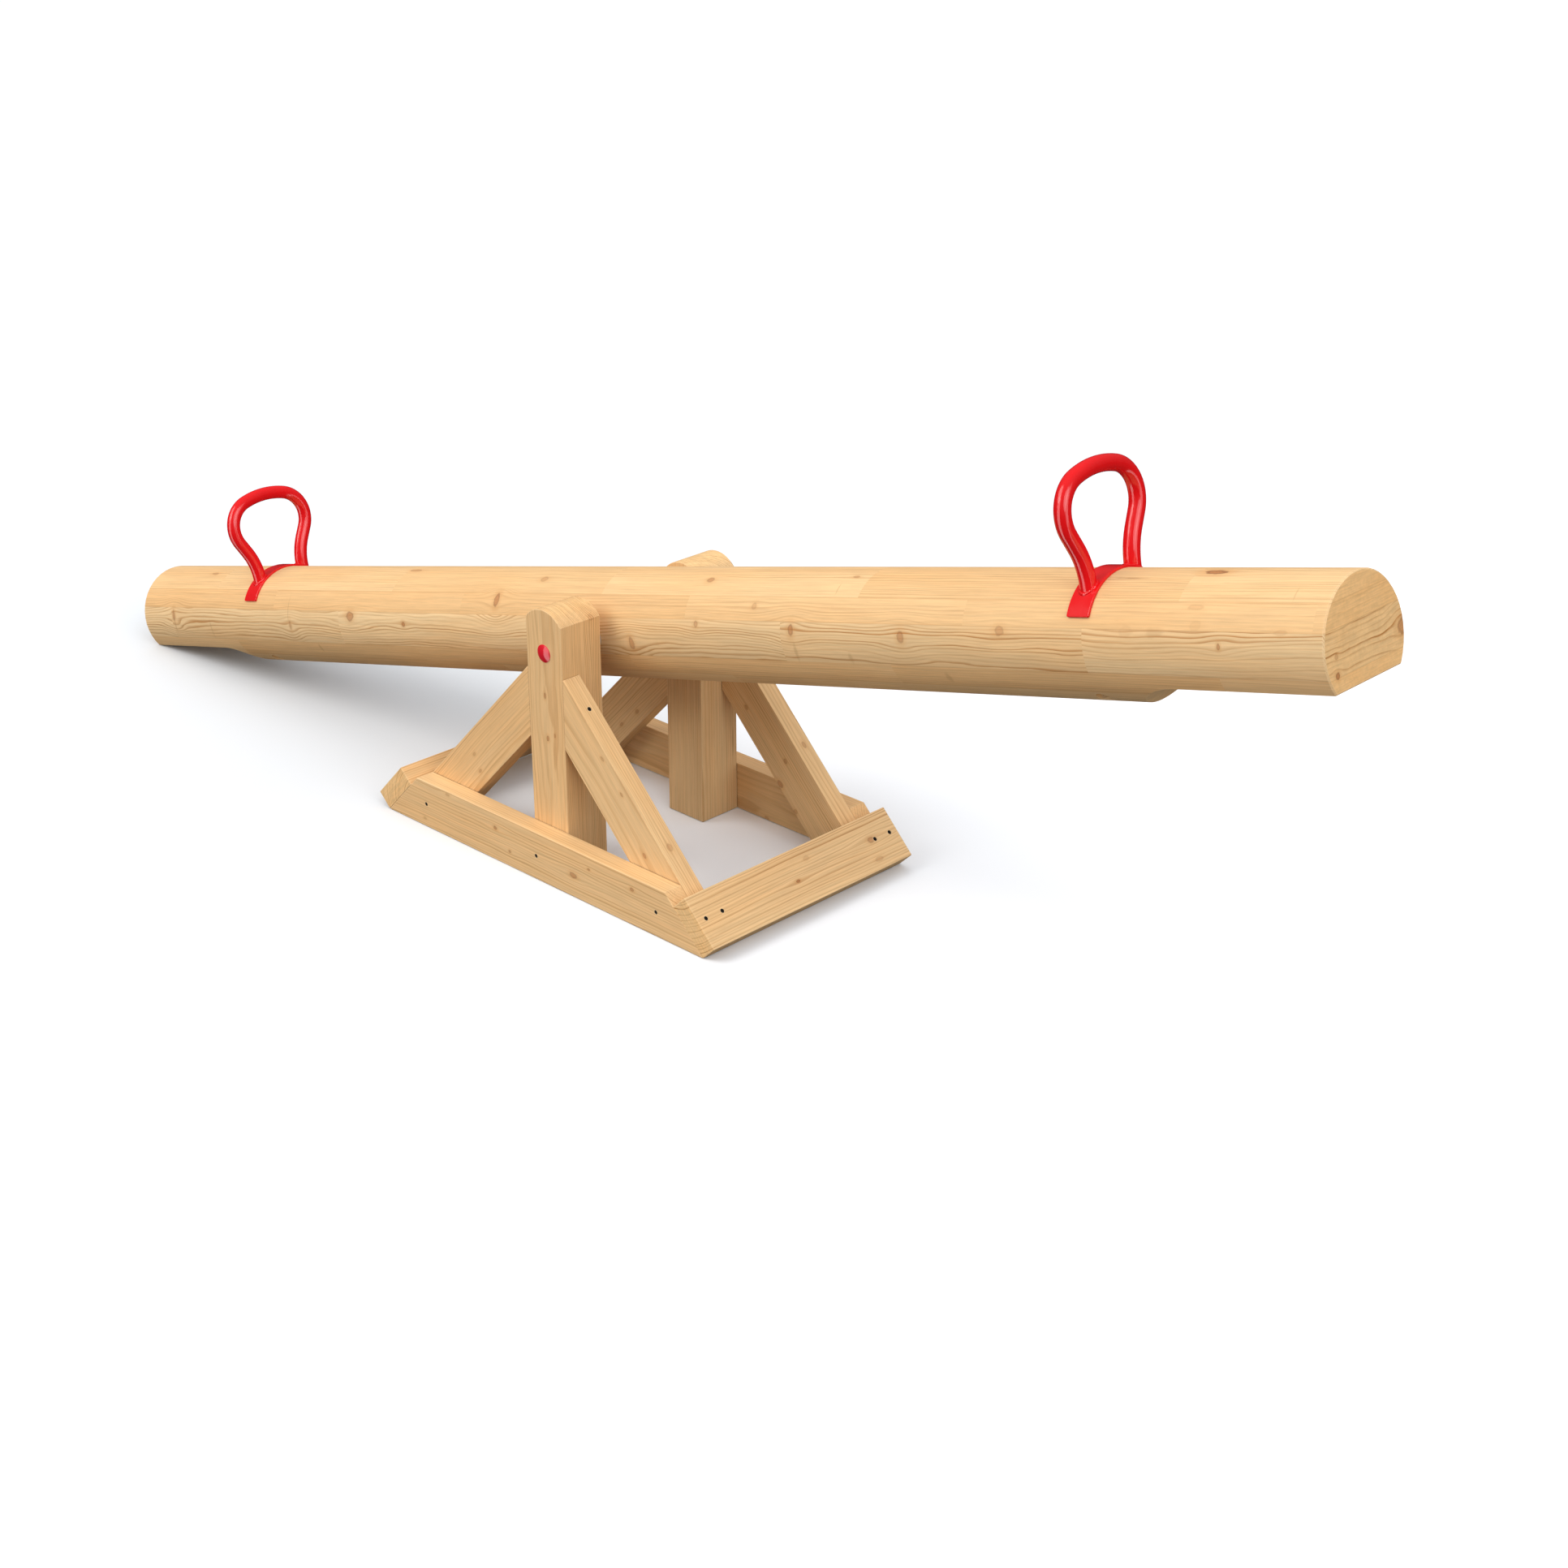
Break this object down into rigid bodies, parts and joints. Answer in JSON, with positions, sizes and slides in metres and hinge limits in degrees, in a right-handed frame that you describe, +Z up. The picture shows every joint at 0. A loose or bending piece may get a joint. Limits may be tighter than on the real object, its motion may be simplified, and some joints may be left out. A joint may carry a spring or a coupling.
{
  "type": "seesaw",
  "caption": "Playground seesaw: a round glued pine log rocks on an axle between two braced timber posts, with a red tubular hand grip near each end.",
  "frame": {"origin": "on the ground, under the middle of the axle", "axes": "+X runs along the base towards the raised end of the log, +Y across to the far post, +Z up"},
  "size_m": [2.9458, 0.494, 0.9394],
  "materials": {
    "log_timber": "oiled, smooth turned pine",
    "frame_timber": "oiled, planed pine with eased edges",
    "red_coating": "gloss red powder coat",
    "cap_plastic": "gloss red moulded plastic",
    "zinc_steel": "bright zinc plated",
    "black_steel": "dull black phosphated",
    "nylon": "natural nylon"
  },
  "bodies": {
    "base": {"rail_near": "frame_timber", "rail_far": "frame_timber", "brace_near_left": "frame_timber", "brace_near_right": "frame_timber", "brace_far_left": "frame_timber", "brace_far_right": "frame_timber", "cross_board_left": "frame_timber", "cross_board_right": "frame_timber", "post_near": "frame_timber", "post_far": "frame_timber", "axle": "zinc_steel", "axle_washers": "zinc_steel", "axle_nuts": "zinc_steel", "rail_screws": "black_steel", "cross_board_screws": "black_steel", "brace_screws": "black_steel", "spacer_near": "nylon", "spacer_far": "nylon", "axle_cap_near": "cap_plastic", "axle_cap_far": "cap_plastic"},
    "beam": {"log": "log_timber", "pivot_sleeve": "zinc_steel", "bush_near": "nylon", "bush_far": "nylon", "handle_loop_left": "red_coating", "handle_loop_right": "red_coating", "handle_strap_left": "red_coating", "handle_strap_right": "red_coating", "handle_studs": "zinc_steel", "handle_washers": "zinc_steel", "handle_nuts": "zinc_steel"}
  },
  "joints": [
    {"name": "rocking_pivot", "type": "hinge", "parent": "base", "child": "beam", "pos_m": [0, 0, 0.419], "axis": [0, 1, 0], "range_deg": [0, 28.22]}
  ]
}
